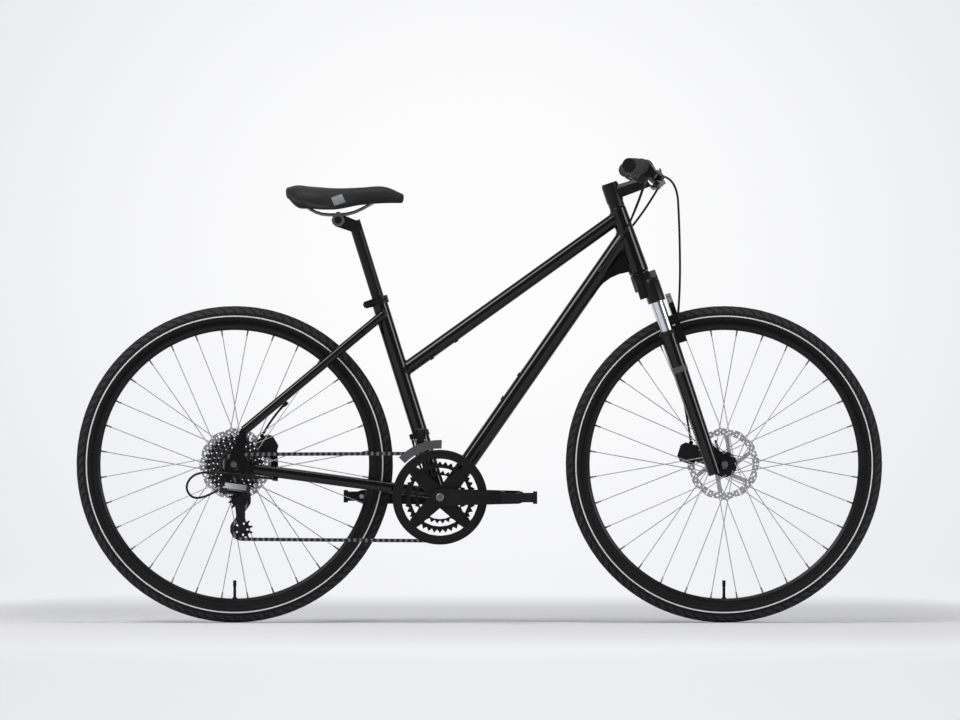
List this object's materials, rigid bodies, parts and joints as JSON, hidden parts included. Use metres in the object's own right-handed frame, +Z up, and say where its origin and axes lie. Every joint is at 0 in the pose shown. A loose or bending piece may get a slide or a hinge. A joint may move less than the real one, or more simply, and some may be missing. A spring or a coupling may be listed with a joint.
{
  "type": "hybrid bike",
  "caption": "Hybrid bicycle with a sloping top tube, suspension fork, disc brakes, riser bar, chain guard, chain drive with derailleurs and quick release wheels.",
  "frame": {"origin": "on the ground midway between the two axles, in the middle plane", "axes": "+X forward, +Y to the rider's left, +Z up"},
  "size_m": [1.7926, 0.635, 1.0292],
  "materials": {
    "frame_paint": "gloss black",
    "black_alloy": "satin black",
    "bare_alloy": "satin",
    "chromed": "polished",
    "steel": "brushed",
    "dark_steel": "satin",
    "tyre_rubber": "matt",
    "grip_rubber": "matt",
    "black_plastic": "matt",
    "saddle_cover": "soft matt",
    "cord_jacket": "satin"
  },
  "bodies": {
    "frame": {"front_triangle": "frame_paint", "rear_triangle": "frame_paint", "headset": "black_alloy", "bottom_bracket": "dark_steel", "seat_clamp": "black_alloy", "rear_axle": "dark_steel", "rear_caliper": "black_alloy", "frame_cables": "cord_jacket", "chain": "dark_steel", "fd_mount": "black_alloy", "rd_knuckle": "black_plastic"},
    "steering": {"fork_crown": "black_alloy", "fork_stanchions": "chromed", "stem": "black_alloy", "handlebar": "black_alloy", "grips": "grip_rubber", "bar_controls": "black_plastic", "steering_cables": "cord_jacket", "front_brake_hose": "cord_jacket", "fork_spring": "dark_steel"},
    "fork_lower": {"fork_lowers": "frame_paint", "front_caliper": "black_alloy", "front_axle": "dark_steel"},
    "front_wheel": {"front_tyre": "tyre_rubber", "front_rim": "black_alloy", "front_spokes": "dark_steel", "front_hub": "black_alloy", "front_rotor": "steel"},
    "rear_wheel": {"rear_tyre": "tyre_rubber", "rear_rim": "black_alloy", "rear_spokes": "dark_steel", "rear_hub": "black_alloy", "rear_rotor": "steel"},
    "cassette": {"cassette": "steel"},
    "crank": {"crank_right": "black_alloy", "chainrings": "dark_steel", "chain_guard": "black_plastic", "crank_left": "black_alloy", "crank_axles": "steel"},
    "saddle": {"saddle": "saddle_cover", "saddle_rails": "dark_steel"},
    "pedal_right": {"pedal_right": "black_plastic"},
    "pedal_left": {"pedal_left": "black_plastic"},
    "rd_outer_link": {"rd_outer_link": "bare_alloy"},
    "rd_inner_link": {"rd_inner_link": "black_alloy"},
    "rd_p_knuckle": {"rd_p_knuckle": "black_plastic"},
    "rd_cage": {"rd_cage": "black_alloy"},
    "guide_pulley": {"guide_pulley": "black_plastic"},
    "tension_pulley": {"tension_pulley": "black_plastic"},
    "fd_link": {"fd_link": "bare_alloy"},
    "fd_cage": {"fd_cage": "steel"},
    "brake_lever_right": {"brake_lever_right": "black_alloy"},
    "brake_lever_left": {"brake_lever_left": "black_alloy"},
    "shift_lever_right": {"shift_lever_right": "black_plastic"},
    "shift_lever_left": {"shift_lever_left": "black_plastic"},
    "seatpost": {"seatpost": "black_alloy"},
    "seat_qr_lever": {"seat_qr_lever": "black_alloy"},
    "front_qr_lever": {"front_qr_lever": "black_alloy"},
    "rear_qr_lever": {"rear_qr_lever": "black_alloy"}
  },
  "joints": [
    {"name": "steering", "type": "hinge", "parent": "frame", "child": "steering", "pos_m": [0.35451, 0, 0.78194], "axis": [-0.319, 0, 0.9478], "range_deg": [-65, 65], "deforming": ["steering_cables"]},
    {"name": "fork_travel", "type": "slide", "parent": "steering", "child": "fork_lower", "axis": [-0.319, 0, 0.9478], "range_m": [0, 0.063], "stiffness_N_per_m": 9000, "springref_m": -0.015, "deforming": ["fork_spring", "front_brake_hose"]},
    {"name": "front_wheel_spin", "type": "hinge", "parent": "fork_lower", "child": "front_wheel", "pos_m": [0.54425, 0, 0.352], "axis": [0, 1, 0], "continuous": true},
    {"name": "rear_wheel_spin", "type": "hinge", "parent": "frame", "child": "rear_wheel", "pos_m": [-0.54425, 0, 0.352], "axis": [0, 1, 0], "continuous": true},
    {"name": "crank_spin", "type": "hinge", "parent": "frame", "child": "crank", "pos_m": [-0.0875, 0, 0.2795], "axis": [0, 1, 0], "continuous": true, "deforming": ["chain"]},
    {"name": "cassette_spin", "type": "hinge", "parent": "frame", "child": "cassette", "pos_m": [-0.54425, 0, 0.352], "axis": [0, 1, 0], "continuous": true},
    {"name": "pedal_right_spin", "type": "hinge", "parent": "crank", "child": "pedal_right", "pos_m": [0.0875, 0, 0.2795], "axis": [0, 1, 0], "continuous": true},
    {"name": "pedal_left_spin", "type": "hinge", "parent": "crank", "child": "pedal_left", "pos_m": [-0.2625, 0, 0.2795], "axis": [0, 1, 0], "continuous": true},
    {"name": "rd_shift", "type": "hinge", "parent": "frame", "child": "rd_outer_link", "pos_m": [-0.56245, -0.08843, 0.30378], "axis": [0.1782, 0.515, 0.8384], "range_deg": [0, 55.6], "stiffness_Nm_per_rad": 0.6, "springref_deg": -11.46},
    {"name": "rd_inner_turn", "type": "hinge", "parent": "frame", "child": "rd_inner_link", "pos_m": [-0.56405, -0.07557, 0.29622], "axis": [0.1782, 0.515, 0.8384], "range_deg": [0, 55.6]},
    {"name": "rd_knuckle_turn", "type": "hinge", "parent": "rd_outer_link", "child": "rd_p_knuckle", "pos_m": [-0.51924, -0.09498, 0.29862], "axis": [0.1782, 0.515, 0.8384], "range_deg": [-55.6, 0]},
    {"name": "rd_cage_swing", "type": "hinge", "parent": "rd_p_knuckle", "child": "rd_cage", "pos_m": [-0.53255, 0, 0.274], "axis": [0, 1, 0], "range_deg": [-35, 20], "stiffness_Nm_per_rad": 0.8},
    {"name": "guide_pulley_spin", "type": "hinge", "parent": "rd_cage", "child": "guide_pulley", "pos_m": [-0.53255, 0, 0.274], "axis": [0, 1, 0], "continuous": true},
    {"name": "tension_pulley_spin", "type": "hinge", "parent": "rd_cage", "child": "tension_pulley", "pos_m": [-0.52751, 0, 0.20869], "axis": [0, 1, 0], "continuous": true},
    {"name": "fd_shift", "type": "hinge", "parent": "frame", "child": "fd_link", "pos_m": [-0.13092, -0.03727, 0.42767], "axis": [1, 0, 0], "range_deg": [0, 36], "stiffness_Nm_per_rad": 0.8, "springref_deg": -11.46},
    {"name": "fd_cage_turn", "type": "hinge", "parent": "fd_link", "child": "fd_cage", "pos_m": [-0.13092, -0.045, 0.4039], "axis": [1, 0, 0], "range_deg": [-36, 0]},
    {"name": "brake_lever_right_turn", "type": "hinge", "parent": "steering", "child": "brake_lever_right", "pos_m": [0.39683, -0.16941, 0.98502], "axis": [-0.6005, 0.136, -0.788], "range_deg": [0, 20], "stiffness_Nm_per_rad": 1.5, "springref_deg": -8.59},
    {"name": "brake_lever_left_turn", "type": "hinge", "parent": "steering", "child": "brake_lever_left", "pos_m": [0.39683, 0.16941, 0.98502], "axis": [0.6005, 0.136, 0.788], "range_deg": [0, 20], "stiffness_Nm_per_rad": 1.5, "springref_deg": -8.59},
    {"name": "shift_lever_right_turn", "type": "hinge", "parent": "steering", "child": "shift_lever_right", "pos_m": [0.35507, -0.13535, 0.98173], "axis": [0.6005, -0.136, 0.788], "range_deg": [0, 30], "stiffness_Nm_per_rad": 0.4, "springref_deg": -11.46},
    {"name": "shift_lever_left_turn", "type": "hinge", "parent": "steering", "child": "shift_lever_left", "pos_m": [0.35507, 0.13535, 0.98173], "axis": [-0.6005, -0.136, -0.788], "range_deg": [0, 30], "stiffness_Nm_per_rad": 0.4, "springref_deg": -11.46},
    {"name": "seatpost_height", "type": "slide", "parent": "frame", "child": "seatpost", "axis": [-0.2974, 0, 0.9548], "range_m": [-0.13, 0.04]},
    {"name": "saddle_tilt", "type": "hinge", "parent": "seatpost", "child": "saddle", "pos_m": [-0.31379, 0, 0.89506], "axis": [0, 1, 0], "range_deg": [-10, 10]},
    {"name": "seat_qr_turn", "type": "hinge", "parent": "frame", "child": "seat_qr_lever", "pos_m": [-0.25032, -0.027, 0.70692], "axis": [0.2974, 0, -0.9548], "range_deg": [0, 170]},
    {"name": "front_qr_turn", "type": "hinge", "parent": "fork_lower", "child": "front_qr_lever", "pos_m": [0.54425, 0.06602, 0.352], "axis": [-0.9478, 0, -0.319], "range_deg": [0, 170]},
    {"name": "rear_qr_turn", "type": "hinge", "parent": "frame", "child": "rear_qr_lever", "pos_m": [-0.54425, 0.08252, 0.352], "axis": [-0.7071, 0, -0.7071], "range_deg": [0, 170]}
  ],
  "couplings": [
    {"joint": "cassette_spin", "follows": "crank_spin", "ratio": 4.3636},
    {"joint": "guide_pulley_spin", "follows": "crank_spin", "ratio": -4.3636},
    {"joint": "tension_pulley_spin", "follows": "crank_spin", "ratio": 4.3636},
    {"joint": "rd_inner_turn", "follows": "rd_shift", "ratio": 1},
    {"joint": "rd_knuckle_turn", "follows": "rd_shift", "ratio": -1},
    {"joint": "fd_cage_turn", "follows": "fd_shift", "ratio": -1}
  ]
}
